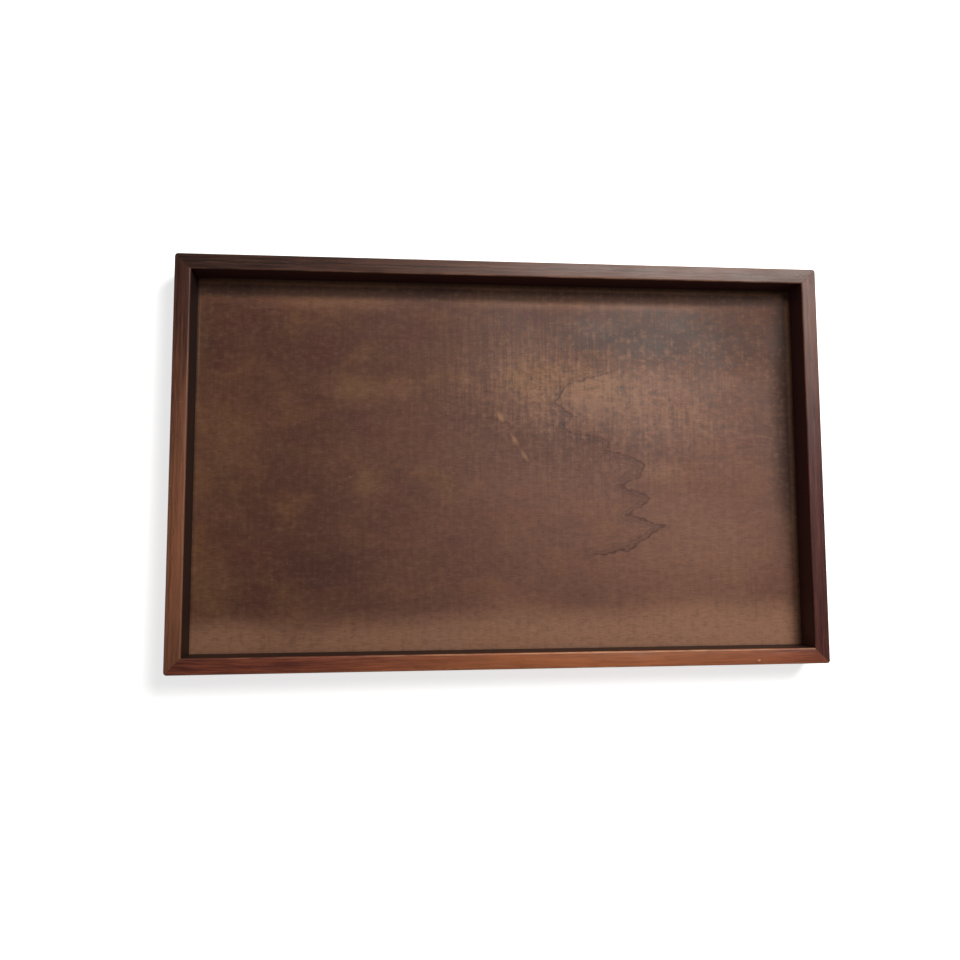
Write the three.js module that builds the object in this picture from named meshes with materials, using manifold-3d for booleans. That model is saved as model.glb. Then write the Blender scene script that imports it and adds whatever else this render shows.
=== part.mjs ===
// A shallow rectangular serving tray.
//
// Four hardwood rails are mitred at the corners, and they hold a three-ply panel in a groove
// ploughed along their inner faces. Two brads go through each mitre from the outside of the short
// rails, and a plug of wood filler covers each brad's head.
//
// Millimetres. X runs along the tray, Y across it and Z up. The tray rests on Z = 0, centred on
// the origin.

import * as THREE from 'three';
import { mergeVertices } from 'three/addons/utils/BufferGeometryUtils.js';
import Module from 'manifold-3d';

// ---- Driving dimensions ---------------------------------------------------------------------

const trayLength = 500;
const trayWidth = 312;

const railHeight = 30;
const railThickness = 12;
const arrisRadius = 1.2; // the long edges of a rail, rounded over by sanding
const cornerRadius = 2.5; // the tray's upright outer corners
const glueLine = 0.1; // between the two faces of a mitre

const grooveHeight = 6; // from the bottom of a rail to the bottom of its groove
const grooveDepth = 6;
const grooveClearance = 0.15; // above and below the panel
const panelPlay = 0.5; // from the panel's edge to the back of the groove

const faceVeneer = 0.7;
const coreVeneer = 2.5;
const veneerGlue = 0.05; // between two veneers

const bradLength = 25;
const bradWidth = 1.25; // the wide side of the wire
const bradDepth = 1.0; // the narrow side of the wire
const bradHeadWidth = 2.0;
const bradHeadHeight = 0.6;
const bradPointLength = 1.6;
const bradPointWidth = 0.3;
const bradSink = 1.4; // from the rail's face to the top of the head
const bradClearance = 0.3;
const bradMargin = 5; // from the top of the groove, and from the top of the rail, to a brad

const plugGap = 0.3; // from the plug's inner end to the brad's head
const plugClearance = 0.05; // around the plug

const quarterFacets = 6; // flat facets in each quarter of a round

// ---- Sizes that follow ----------------------------------------------------------------------

const panelThickness = 2 * (faceVeneer + veneerGlue) + coreVeneer;
const panelBottom = grooveHeight + grooveClearance;
const grooveTop = grooveHeight + panelThickness + 2 * grooveClearance;
const panelLength = trayLength - 2 * (railThickness - grooveDepth + panelPlay);
const panelWidth = trayWidth - 2 * (railThickness - grooveDepth + panelPlay);

const bradInset = railThickness / 2; // from the outside of a long rail to its brads
const bradHeights = [grooveTop + bradMargin, railHeight - bradMargin];
const bradHoleRadius = Math.hypot(bradWidth, bradDepth) / 2 + bradClearance;
const headHoleRadius = Math.hypot(bradHeadWidth, bradDepth) / 2 + bradClearance;
const plugRadius = headHoleRadius - plugClearance;
const plugLength = bradSink - plugGap;

// ---- Solids ---------------------------------------------------------------------------------

const wasm = await Module();
wasm.setup();

/** A closed geometry as a solid that can be joined and cut. */
function solidFrom( geometry ) {

	const bare = geometry.clone();
	bare.deleteAttribute( 'normal' );
	bare.deleteAttribute( 'uv' );
	const merged = mergeVertices( bare, 1e-4 );
	return new wasm.Manifold( new wasm.Mesh( {
		numProp: 3,
		vertProperties: merged.attributes.position.array,
		triVerts: new Uint32Array( merged.index.array ),
	} ) );

}

/** A solid as a geometry with flat faces. */
function geometryFrom( solid ) {

	const { numProp, numVert, vertProperties, triVerts } = solid.getMesh();
	const positions = new Float32Array( numVert * 3 );
	for ( let i = 0; i < numVert; i ++ ) {

		positions.set( vertProperties.subarray( i * numProp, i * numProp + 3 ), i * 3 );

	}

	const geometry = new THREE.BufferGeometry();
	geometry.setAttribute( 'position', new THREE.BufferAttribute( positions, 3 ) );
	geometry.setIndex( new THREE.BufferAttribute( triVerts, 1 ) );
	const flat = geometry.toNonIndexed();
	flat.computeVertexNormals();
	return flat;

}

/** A shape in the XY plane, raised by height. */
function raised( shape, height ) {

	return new THREE.ExtrudeGeometry( shape, {
		depth: height,
		bevelEnabled: false,
		curveSegments: quarterFacets / 2, // an arc in a shape gets twice this many
	} );

}

// ---- Rails ----------------------------------------------------------------------------------
// Every rail is made lying along X at the near side, where Y is negative, and is then turned
// about Z to its own side of the tray.

/** A rail's section: x goes inwards from its outer face and y goes up. */
function railSection() {

	const r = arrisRadius;
	const section = new THREE.Shape();
	section.moveTo( r, 0 );
	section.lineTo( railThickness - r, 0 );
	section.absarc( railThickness - r, r, r, - Math.PI / 2, 0, false );
	section.lineTo( railThickness, grooveHeight );
	section.lineTo( railThickness - grooveDepth, grooveHeight );
	section.lineTo( railThickness - grooveDepth, grooveTop );
	section.lineTo( railThickness, grooveTop );
	section.lineTo( railThickness, railHeight - r );
	section.absarc( railThickness - r, railHeight - r, r, 0, Math.PI / 2, false );
	section.lineTo( r, railHeight );
	section.absarc( r, railHeight - r, r, Math.PI / 2, Math.PI, false );
	section.lineTo( 0, r );
	section.absarc( r, r, r, Math.PI, 1.5 * Math.PI, false );
	return section;

}

/** The square-ended moulding that a rail of this length is cut from. */
function moulding( length, across ) {

	const alongX = new THREE.Matrix4().makeBasis(
		new THREE.Vector3( 0, 1, 0 ),
		new THREE.Vector3( 0, 0, 1 ),
		new THREE.Vector3( 1, 0, 0 ),
	).setPosition( - length / 2, - across / 2, 0 );
	return raised( railSection(), length ).applyMatrix4( alongX );

}

/** The tray's outline from above, with its upright corners rounded. */
function trayOutline( length, across ) {

	const x = length / 2;
	const y = across / 2;
	const r = cornerRadius;
	const outline = new THREE.Shape();
	outline.moveTo( - x + r, - y );
	outline.absarc( x - r, - y + r, r, - Math.PI / 2, 0, false );
	outline.absarc( x - r, y - r, r, 0, Math.PI / 2, false );
	outline.absarc( - x + r, y - r, r, Math.PI / 2, Math.PI, false );
	outline.absarc( - x + r, - y + r, r, Math.PI, 1.5 * Math.PI, false );
	return raised( outline, railHeight );

}

/** What a rail keeps between its two mitre cuts, seen from above. */
function mitreOutline( length, across ) {

	const short = glueLine * Math.SQRT1_2; // how far each cut moves along the rail
	const x = length / 2 - short;
	const y = - across / 2;
	const outline = new THREE.Shape();
	outline.moveTo( - x, y );
	outline.lineTo( x, y );
	outline.lineTo( x - railThickness, y + railThickness );
	outline.lineTo( - x + railThickness, y + railThickness );
	return raised( outline, railHeight );

}

/** A round hole along X, from x0 to x1. */
function holeAlongX( radius, x0, x1, y, z ) {

	const hole = new THREE.CylinderGeometry( radius, radius, Math.abs( x1 - x0 ), 4 * quarterFacets );
	return hole.rotateZ( Math.PI / 2 ).translate( ( x0 + x1 ) / 2, y, z );

}

/** A round hole along Y, from y0 to y1. */
function holeAlongY( radius, y0, y1, x, z ) {

	const hole = new THREE.CylinderGeometry( radius, radius, Math.abs( y1 - y0 ), 4 * quarterFacets );
	return hole.translate( x, ( y0 + y1 ) / 2, z );

}

/** The holes that the brads' points make in the two ends of a long rail. */
function pointHoles( length, across ) {

	const y = - across / 2 + bradInset;
	const deep = length / 2 - bradSink - bradLength - bradClearance;
	return [ - 1, 1 ].flatMap( end => bradHeights.map( z =>
		holeAlongX( bradHoleRadius, end * deep, end * length, y, z ) ) );

}

/** The holes that the brads go in by, through the two ends of a short rail. */
function entryHoles( length, across ) {

	const outside = - across / 2;
	const headSeat = outside + bradSink + bradHeadHeight + bradClearance;
	return [ - 1, 1 ].flatMap( end => bradHeights.flatMap( z => {

		const x = end * ( length / 2 - bradInset );
		return [
			holeAlongY( bradHoleRadius, outside, outside + 2 * railThickness, x, z ),
			holeAlongY( headHoleRadius, outside - railThickness, headSeat, x, z ),
		];

	} ) );

}

/** A rail of this length for the side at across / 2 from the middle, less its holes. */
function railGeometry( length, across, holes ) {

	const mitred = solidFrom( moulding( length, across ) )
		.intersect( solidFrom( trayOutline( length, across ) ) )
		.intersect( solidFrom( mitreOutline( length, across ) ) );
	const drilled = holes.reduce( ( rail, hole ) => rail.subtract( solidFrom( hole ) ), mitred );
	return geometryFrom( drilled );

}

// ---- Brads and plugs ------------------------------------------------------------------------

/** A brad with the top of its head at the origin and its point along +X. */
function bradGeometry() {

	const half = bradWidth / 2;
	const side = new THREE.Shape();
	side.moveTo( 0, - bradHeadWidth / 2 );
	side.lineTo( bradHeadHeight, - bradHeadWidth / 2 );
	side.lineTo( bradHeadHeight, - half );
	side.lineTo( bradLength - bradPointLength, - half );
	side.lineTo( bradLength, - bradPointWidth / 2 );
	side.lineTo( bradLength, bradPointWidth / 2 );
	side.lineTo( bradLength - bradPointLength, half );
	side.lineTo( bradHeadHeight, half );
	side.lineTo( bradHeadHeight, bradHeadWidth / 2 );
	side.lineTo( 0, bradHeadWidth / 2 );
	return raised( side, bradDepth ).translate( 0, 0, - bradDepth / 2 );

}

/** A filler plug with its outer face at the origin and its length along +X. */
function plugGeometry() {

	const plug = new THREE.CylinderGeometry( plugRadius, plugRadius, plugLength, 4 * quarterFacets );
	return plug.rotateZ( Math.PI / 2 ).translate( plugLength / 2, 0, 0 );

}

// ---- Finishes -------------------------------------------------------------------------------

function finish( color, roughness, metalness = 0 ) {

	return new THREE.MeshStandardMaterial( { color, roughness, metalness } );

}

const stainedRail = finish( 0x5d3a2b, 0.45 );
const stainedVeneer = finish( 0x6b4836, 0.5 );
const rawVeneer = finish( 0xc9a77c, 0.8 );
const stainedFiller = finish( 0x42281d, 0.7 );
const brightSteel = finish( 0xa9abad, 0.35, 1 );

// ---- Assembly -------------------------------------------------------------------------------

function named( name, geometry, material ) {

	const mesh = new THREE.Mesh( geometry, material );
	mesh.name = name;
	return mesh;

}

function rails() {

	const group = new THREE.Group();
	const longRail = railGeometry( trayLength, trayWidth, pointHoles( trayLength, trayWidth ) );
	const shortRail = railGeometry( trayWidth, trayLength, entryHoles( trayWidth, trayLength ) );
	const sides = [
		[ 'near_rail', longRail, 0 ],
		[ 'right_rail', shortRail, Math.PI / 2 ],
		[ 'far_rail', longRail, Math.PI ],
		[ 'left_rail', shortRail, - Math.PI / 2 ],
	];
	for ( const [ name, geometry, turn ] of sides ) {

		const rail = named( name, geometry, stainedRail );
		rail.rotation.z = turn;
		group.add( rail );

	}

	return group;

}

function panel() {

	const group = new THREE.Group();
	group.position.z = panelBottom;
	const veneers = [
		[ 'panel_back_veneer', faceVeneer, stainedVeneer ],
		[ 'panel_core_veneer', coreVeneer, rawVeneer ],
		[ 'panel_face_veneer', faceVeneer, stainedVeneer ],
	];
	let bottom = 0;
	for ( const [ name, thickness, material ] of veneers ) {

		const veneer = named( name, new THREE.BoxGeometry( panelLength, panelWidth, thickness ), material );
		veneer.position.z = bottom + thickness / 2;
		group.add( veneer );
		bottom += thickness + veneerGlue;

	}

	return group;

}

/** One corner's brads and plugs, in a frame at the outside of the short rail with +X inwards. */
function cornerFastenings( corner ) {

	const group = new THREE.Group();
	bradHeights.forEach( ( z, i ) => {

		const level = [ 'lower', 'upper' ][ i ];
		const brad = named( `brad_${ corner }_${ level }`, bradGeometry(), brightSteel );
		brad.position.set( bradSink, 0, z );
		const plug = named( `filler_plug_${ corner }_${ level }`, plugGeometry(), stainedFiller );
		plug.position.z = z;
		group.add( brad, plug );

	} );
	return group;

}

function fastenings() {

	const group = new THREE.Group();
	for ( const [ side, x ] of [ [ 'left', - 1 ], [ 'right', 1 ] ] ) {

		for ( const [ end, y ] of [ [ 'near', - 1 ], [ 'far', 1 ] ] ) {

			const corner = cornerFastenings( `${ end }_${ side }` );
			corner.position.set( x * trayLength / 2, y * ( trayWidth / 2 - bradInset ), 0 );
			corner.rotation.z = x > 0 ? Math.PI : 0;
			group.add( corner );

		}

	}

	return group;

}

const tray = new THREE.Group();
tray.add( rails(), panel(), fastenings() );

export default tray;
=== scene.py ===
# %% [markdown]
# # A stained wooden serving tray
# Four mitred hardwood rails stand round a plywood panel, which sits in a groove cut along their
# inner faces. Everything was stained walnut brown and varnished after it was glued up, so the
# looks of the tray are the looks of that one finish on two kinds of wood: straight-grained rails,
# and a rotary-cut veneer that drinks the stain unevenly.
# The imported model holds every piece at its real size. Here each wooden piece that shows is
# modelled again more finely, in the same place, and given a finish made of shader nodes.

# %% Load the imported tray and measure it
import math
from types import SimpleNamespace as Look

import bmesh
import bpy
import numpy as np
from mathutils import Matrix, Vector, noise


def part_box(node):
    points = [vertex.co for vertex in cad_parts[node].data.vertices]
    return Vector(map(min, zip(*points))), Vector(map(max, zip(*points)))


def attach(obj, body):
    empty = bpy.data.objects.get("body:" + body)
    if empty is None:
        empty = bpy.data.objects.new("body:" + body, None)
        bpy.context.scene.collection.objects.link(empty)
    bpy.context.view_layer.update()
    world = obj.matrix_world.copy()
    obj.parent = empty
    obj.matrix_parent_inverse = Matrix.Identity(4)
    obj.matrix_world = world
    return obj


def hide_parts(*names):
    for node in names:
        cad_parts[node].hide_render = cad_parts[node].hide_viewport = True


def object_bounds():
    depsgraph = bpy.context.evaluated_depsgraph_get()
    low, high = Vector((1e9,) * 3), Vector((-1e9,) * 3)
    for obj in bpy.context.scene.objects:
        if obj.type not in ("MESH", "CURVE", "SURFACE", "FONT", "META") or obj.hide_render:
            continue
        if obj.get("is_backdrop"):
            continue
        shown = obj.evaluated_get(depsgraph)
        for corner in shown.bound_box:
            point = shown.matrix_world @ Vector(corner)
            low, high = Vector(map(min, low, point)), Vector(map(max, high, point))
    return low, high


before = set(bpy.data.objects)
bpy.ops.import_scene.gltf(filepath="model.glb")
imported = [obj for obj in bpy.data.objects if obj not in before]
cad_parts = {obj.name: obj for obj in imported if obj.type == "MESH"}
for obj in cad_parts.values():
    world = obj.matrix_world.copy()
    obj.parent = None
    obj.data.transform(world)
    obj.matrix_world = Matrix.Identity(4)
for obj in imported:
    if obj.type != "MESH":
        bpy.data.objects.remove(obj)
MM = 0.001

cad_low, cad_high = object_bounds()
middle = (cad_low + cad_high) / 2
length, width, height = cad_high - cad_low

near_low, near_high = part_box("near_rail")
RAIL_THICKNESS = near_high.y - near_low.y
PANEL_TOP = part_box("panel_face_veneer")[1].z
PANEL_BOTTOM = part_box("panel_back_veneer")[0].z
print("tray", [round(side / MM, 1) for side in (length, width, height)],
      "mm, rails", round(RAIL_THICKNESS / MM, 1), "mm thick")

# %% [markdown]
# ## The camera
# A tray is best shown from nearly overhead, a little to the left of its middle and a little
# towards the near side, so that the far and right inner walls show and give it depth. A 27 mm
# lens held half a metre above the rim is what a phone held over a table sees. The wide lens
# matters: it makes the near left corner loom, and a longer lens would square the tray up.
# The place is given as offsets from the middle of the rim, and the aim as three small turns.

# %% Set up the camera
LENS_MM = 27.0
EYE_LEFT = 64.7 * MM
EYE_NEAR = 55.1 * MM
EYE_ABOVE_RIM = 541.5 * MM
TILT_FORWARD, TILT_RIGHT, ROLL = 4.29, -4.58, -0.22  # degrees

camera_data = bpy.data.cameras.new("camera")
camera_data.lens = LENS_MM
camera_data.clip_start = 0.01
camera = bpy.data.objects.new("camera", camera_data)
bpy.context.scene.collection.objects.link(camera)
camera.location = (middle.x - EYE_LEFT, middle.y - EYE_NEAR, cad_high.z + EYE_ABOVE_RIM)
camera.rotation_euler = [math.radians(turn) for turn in (TILT_FORWARD, TILT_RIGHT, ROLL)]
bpy.context.scene.camera = camera
print("camera at", [round(value, 3) for value in camera.location])

# %% [markdown]
# ## Light and floor
# One big soft lamp stands high over the far right corner. It is a window's worth of light: it
# lays a soft shadow on the panel along the far and right walls, and puts a grey sheen on the
# right half of the varnish, where the lamp's reflection reaches the eye. A pale, even sky fills
# the shadows. Three lamps would light the walls too, and then the tray would lose its depth.
# The lamp's direction comes from the shadow: beside the far wall and the right wall alike it is
# about six tenths as wide as the walls are high. The sky is pale where the eye meets it but
# gives little light, as a white room does beside one window, so the shadows stay deep.

# %% Light the tray
LAMP_DIRECTION = Vector((0.46, 0.45, 0.76)).normalized()
LAMP_DISTANCE = 1.1
LAMP_SIZE = 0.54
LAMP_WATTS = 14.5
LAMP_COLOUR = (1.0, 0.975, 0.94)
SKY_STRENGTH = 0.1
SKY_SEEN = 0.9
SKY_COLOUR = (0.93, 0.96, 1.0, 1.0)

lamp_data = bpy.data.lights.new("window_lamp", "AREA")
lamp_data.shape = "SQUARE"
lamp_data.size = LAMP_SIZE
lamp_data.energy = LAMP_WATTS
lamp_data.color = LAMP_COLOUR
lamp = bpy.data.objects.new("window_lamp", lamp_data)
bpy.context.scene.collection.objects.link(lamp)
lamp.location = middle + LAMP_DIRECTION * LAMP_DISTANCE
lamp.rotation_euler = (-LAMP_DIRECTION).to_track_quat("-Z", "Y").to_euler()

sky = bpy.data.worlds.new("sky")
bpy.context.scene.world = sky
sky.use_nodes = True
sky_tree = sky.node_tree
sky_look = sky_tree.nodes["Background"].inputs
sky_look["Color"].default_value = SKY_COLOUR
seen = sky_tree.nodes.new("ShaderNodeLightPath")
strength = sky_tree.nodes.new("ShaderNodeMapRange")
strength.inputs["To Min"].default_value = SKY_STRENGTH
strength.inputs["To Max"].default_value = SKY_SEEN
sky_tree.links.new(seen.outputs["Is Camera Ray"], strength.inputs["Value"])
sky_tree.links.new(strength.outputs["Result"], sky_look["Strength"])
bpy.context.scene.view_settings.view_transform = "Standard"
print("lamp", LAMP_WATTS, "W at", [round(value, 2) for value in lamp.location])

# %% [markdown]
# ## Helpers for modelling
# An operator acts on whatever is selected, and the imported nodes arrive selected. So each piece
# starts with nothing selected, and in edit mode faces and edges are picked by where they are or
# which way they face. That is what a modeller does by eye.

# %% Pick by place
SMALL = 0.01 * MM


def enter_edit():
    bpy.ops.object.mode_set(mode="EDIT")


def leave_edit():
    bpy.ops.object.mode_set(mode="OBJECT")


def start_alone():
    """Leaves object mode with nothing selected."""
    if bpy.context.object and bpy.context.object.mode != "OBJECT":
        leave_edit()
    bpy.ops.object.select_all(action="DESELECT")


def choose(piece):
    """Makes one object the only one selected, and the active one."""
    start_alone()
    piece.select_set(True)
    bpy.context.view_layer.objects.active = piece
    return piece


def name_piece(name):
    """Names the piece just made, and works its place and size into its mesh."""
    piece = bpy.context.object
    piece.name = piece.data.name = name
    bpy.ops.object.transform_apply(location=True, rotation=True, scale=True)
    return piece


def pick(kind, wanted):
    """In edit mode, selects only the verts, edges or faces that wanted() accepts."""
    bpy.ops.mesh.select_mode(type={"verts": "VERT", "edges": "EDGE", "faces": "FACE"}[kind])
    bpy.ops.mesh.select_all(action="DESELECT")
    mesh = bpy.context.object.data
    shape = bmesh.from_edit_mesh(mesh)
    found = [part for part in getattr(shape, kind) if wanted(part)]
    for part in found:
        part.select_set(True)
    shape.select_flush_mode()
    bmesh.update_edit_mesh(mesh)
    return len(found)


def slice_at(place, normal, keep_below=False):
    """Cuts all of the mesh with a plane, and may throw away what is above it and cap the cut."""
    bpy.ops.mesh.select_all(action="SELECT")
    bpy.ops.mesh.bisect(
        plane_co=place, plane_no=normal, clear_outer=keep_below, use_fill=keep_below,
        threshold=SMALL / 10,
    )


def copy_of(piece, name):
    """A copy of a piece, with its own mesh."""
    twin = piece.copy()
    twin.data = piece.data.copy()
    twin.name = name
    twin.data.name = name
    bpy.context.scene.collection.objects.link(twin)
    return twin


def describe(piece):
    print(piece.name, len(piece.data.polygons), "faces")


# %% Lay the floor
FLOOR_SIZE = 8.0
BELOW_TRAY = 0.2 * MM

start_alone()
bpy.ops.mesh.primitive_plane_add(
    size=FLOOR_SIZE, location=(middle.x, middle.y, cad_low.z - BELOW_TRAY))
floor = bpy.context.object
floor.name = "floor"
floor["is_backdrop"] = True

# %% [markdown]
# ## The rails: one ring first
# The four rails were glued into a frame before anything was rounded, so the sanding runs round
# the outer corners without a break. Modelled one by one, the rails would never meet that well.
# So a whole ring is modelled first: a block with its upright corners rounded, an opening bridged
# through it, a groove pushed into the inner walls, and the sharp edges eased. Only then is the
# ring sawn through its corners into four rails.

# %% Model the ring
CORNER_RADIUS = 2.5 * MM
ARRIS_RADIUS = 1.2 * MM
GROOVE_DEPTH = 6.0 * MM
GROOVE_CLEARANCE = 0.15 * MM
inner_x = length / 2 - RAIL_THICKNESS
inner_y = width / 2 - RAIL_THICKNESS
groove_bottom = PANEL_BOTTOM - GROOVE_CLEARANCE
groove_top = PANEL_TOP + GROOVE_CLEARANCE


def is_upright(edge):
    rise = edge.verts[1].co - edge.verts[0].co
    return abs(rise.z) > rise.length * 0.99


def in_opening(face):
    spot = face.calc_center_median() - middle
    return abs(face.normal.z) > 0.9 and abs(spot.x) < inner_x and abs(spot.y) < inner_y


def is_groove_strip(face):
    spot = face.calc_center_median()
    beside = abs(spot.x - middle.x) < inner_x + SMALL and abs(spot.y - middle.y) < inner_y + SMALL
    return beside and abs(face.normal.z) < 0.1 and groove_bottom < spot.z < groove_top


def is_long_arris(edge):
    """An edge at the very top or bottom where a level face meets an upright one."""
    ends = [vert.co.z for vert in edge.verts]
    at_end = any(max(abs(z - level) for z in ends) < SMALL for level in (cad_low.z, cad_high.z))
    return at_end and edge.calc_face_angle(0.0) > math.radians(45)


start_alone()
bpy.ops.mesh.primitive_cube_add(size=1, location=middle, scale=(length, width, height))
ring = name_piece("ring")
enter_edit()
pick("edges", is_upright)
bpy.ops.mesh.bevel(offset=CORNER_RADIUS, segments=8, affect="EDGES")
for side in (-1, 1):
    slice_at(middle + Vector((side * inner_x, 0, 0)), (1, 0, 0))
    slice_at(middle + Vector((0, side * inner_y, 0)), (0, 1, 0))
pick("faces", in_opening)
bpy.ops.mesh.bridge_edge_loops()
for level in (groove_bottom, groove_top):
    slice_at((0, 0, level), (0, 0, 1))
print("groove strips", pick("faces", is_groove_strip))
bpy.ops.mesh.extrude_region_shrink_fatten(
    TRANSFORM_OT_shrink_fatten={"value": -GROOVE_DEPTH, "use_even_offset": True})
print("arris edges", pick("edges", is_long_arris))
bpy.ops.mesh.bevel(offset=ARRIS_RADIUS, segments=5, affect="EDGES")
leave_edit()
describe(ring)

# %% [markdown]
# ## Saw the ring into four rails
# Each rail is a copy of the ring with all but its own side sawn away, by one slanting cut at
# each end. The cuts stop a twentieth of a millimetre short of the corner's diagonal, which
# leaves the fine dark seam of a glued mitre.

# %% Saw the mitres
GLUE_HALF = 0.05 * MM
SIDES = {
    "near_rail": Vector((0, -1, 0)),
    "far_rail": Vector((0, 1, 0)),
    "left_rail": Vector((-1, 0, 0)),
    "right_rail": Vector((1, 0, 0)),
}


def along_side(outwards):
    """The direction along the side that faces outwards."""
    return Vector((-outwards.y, outwards.x, 0))


def saw_rail(name, outwards):
    """One side of the ring, between its two mitres."""
    rail = choose(copy_of(ring, name + "_finished"))
    along = along_side(outwards)
    enter_edit()
    for end in (-1, 1):
        corner = middle + Vector((
            (outwards.x + end * along.x) * length / 2, (outwards.y + end * along.y) * width / 2, 0))
        past_mitre = (end * along - outwards).normalized()
        slice_at(corner - past_mitre * GLUE_HALF, past_mitre, keep_below=True)
    bpy.ops.mesh.select_all(action="SELECT")
    bpy.ops.mesh.remove_doubles(threshold=SMALL / 4)
    bpy.ops.mesh.normals_make_consistent(inside=False)
    leave_edit()
    return rail


rails = {name: saw_rail(name, outwards) for name, outwards in SIDES.items()}
bpy.data.objects.remove(ring)
for rail in rails.values():
    describe(rail)

# %% [markdown]
# ## Holes for the brads
# A brad gun drove two thin nails through each mitre from the outside of the short rails, and set
# their heads below the surface. Each hole is therefore stepped, wide at the mouth and narrow
# beyond. Eight stepped drill bits are modelled where the nails are, joined, and taken away from
# the rails by a Boolean modifier. This comes before the rails are cut up finely: a Boolean on few
# large faces is quick and clean, and on many small ones it leaves slivers.

# %% Drill the stepped holes
BRADS = [
    f"{end}_{side}_{level}"
    for side in ("left", "right") for end in ("near", "far") for level in ("lower", "upper")
]
HOLE_CLEARANCE = 0.3 * MM
PLUG_CLEARANCE = 0.05 * MM
BIT_FACETS = 24
BIT_OVERHANG = 1.0 * MM  # past the rail's outer face
WIDE_PAST_HEAD = 0.9 * MM  # the head is 0.6 mm thick
WIRE_SIDES = (1.25 * MM, 1.0 * MM)


def drill_bit(place):
    """A stepped solid that makes room for one brad and its plug."""
    brad_low, brad_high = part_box(f"brad_{place}")
    plug_low, plug_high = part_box(f"filler_plug_{place}")
    inwards = 1 if brad_low.x < middle.x else -1
    outer, tip = (plug_low.x, brad_high.x) if inwards > 0 else (plug_high.x, brad_low.x)
    wide = (plug_high.z - plug_low.z) / 2 + PLUG_CLEARANCE
    head = (brad_low.x if inwards > 0 else brad_high.x) + inwards * WIDE_PAST_HEAD
    mouth = outer - inwards * BIT_OVERHANG
    across, up = (brad_low.y + brad_high.y) / 2, (brad_low.z + brad_high.z) / 2
    start_alone()
    bpy.ops.mesh.primitive_cylinder_add(
        vertices=BIT_FACETS, radius=wide, depth=abs(head - mouth),
        location=((head + mouth) / 2, across, up), rotation=(0, math.radians(90), 0))
    bit = name_piece("bit_" + place)
    enter_edit()
    pick("faces", lambda face: face.normal.x * inwards > 0.9)
    wire_radius = math.hypot(*WIRE_SIDES) / 2 + HOLE_CLEARANCE
    bpy.ops.mesh.inset(thickness=wide - wire_radius)
    bpy.ops.mesh.extrude_region_move(
        TRANSFORM_OT_translate={"value": (tip + inwards * HOLE_CLEARANCE - head, 0, 0)})
    leave_edit()
    return bit


bits = [drill_bit(place) for place in BRADS]
start_alone()
for bit in bits:
    bit.select_set(True)
bpy.context.view_layer.objects.active = bits[0]
bpy.ops.object.join()
all_bits = bpy.context.object

for rail in rails.values():
    choose(rail)
    drilled = rail.modifiers.new("drilled", "BOOLEAN")
    drilled.operation = "DIFFERENCE"
    drilled.solver = "EXACT"
    drilled.object = all_bits
    bpy.ops.object.modifier_apply(modifier=drilled.name)
    describe(rail)
bpy.data.objects.remove(all_bits)

# %% [markdown]
# ## Sanded by hand
# A rail that has been sanded by hand is never quite flat, and its edges are rubbed rounder in
# some places than in others. The unevenness is a tenth of a millimetre, which nobody sees as a
# shape but everybody sees in the way a highlight runs along the edge. Each point moves by a
# smooth noise of its place along the rail, and the movement fades out towards the mitres so that
# they still meet. A straight rail has no points between its ends to move, so cross cuts are made
# every few millimetres first. Each rail also keeps its own coordinates as an attribute: how far
# along the rail a point is, how far in from the outer face, and how high. The finish reads
# these, so one recipe can follow the grain of all four rails.

# %% Make the rails a little uneven
UNEVEN = 0.07 * MM
RUBBED_OFF = 0.16 * MM
FADE_AT_MITRE = 18.0 * MM
CROSS_CUT_SPACING = 4.0 * MM
GROOVE_MARGIN = 1.5 * MM
WAVES_PER_METRE = (14, 60)  # along the rail and across it
DENTS_PER_METRE = (55, 90)
SMOOTH_BELOW = math.radians(28)


def rail_place(point, outwards):
    """Along, in from the outer face, and up, in metres."""
    offset = point - middle
    reach = abs(outwards.x) * length / 2 + abs(outwards.y) * width / 2
    return Vector((offset.dot(along_side(outwards)), reach - offset.dot(outwards),
                   point.z - cad_low.z))


def fade_in(value, full):
    """Rises smoothly from 0 at 0 to 1 at full."""
    share = min(max(value / full, 0.0), 1.0)
    return share * share * (3 - 2 * share)


def cross_cut(rail, outwards, half):
    """Cuts the rail across at even steps, without parting it."""
    along = along_side(outwards)
    choose(rail)
    enter_edit()
    cuts = int(half / CROSS_CUT_SPACING)
    for step in range(-cuts, cuts + 1):
        slice_at(middle + along * step * CROSS_CUT_SPACING, along)
    leave_edit()


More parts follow.
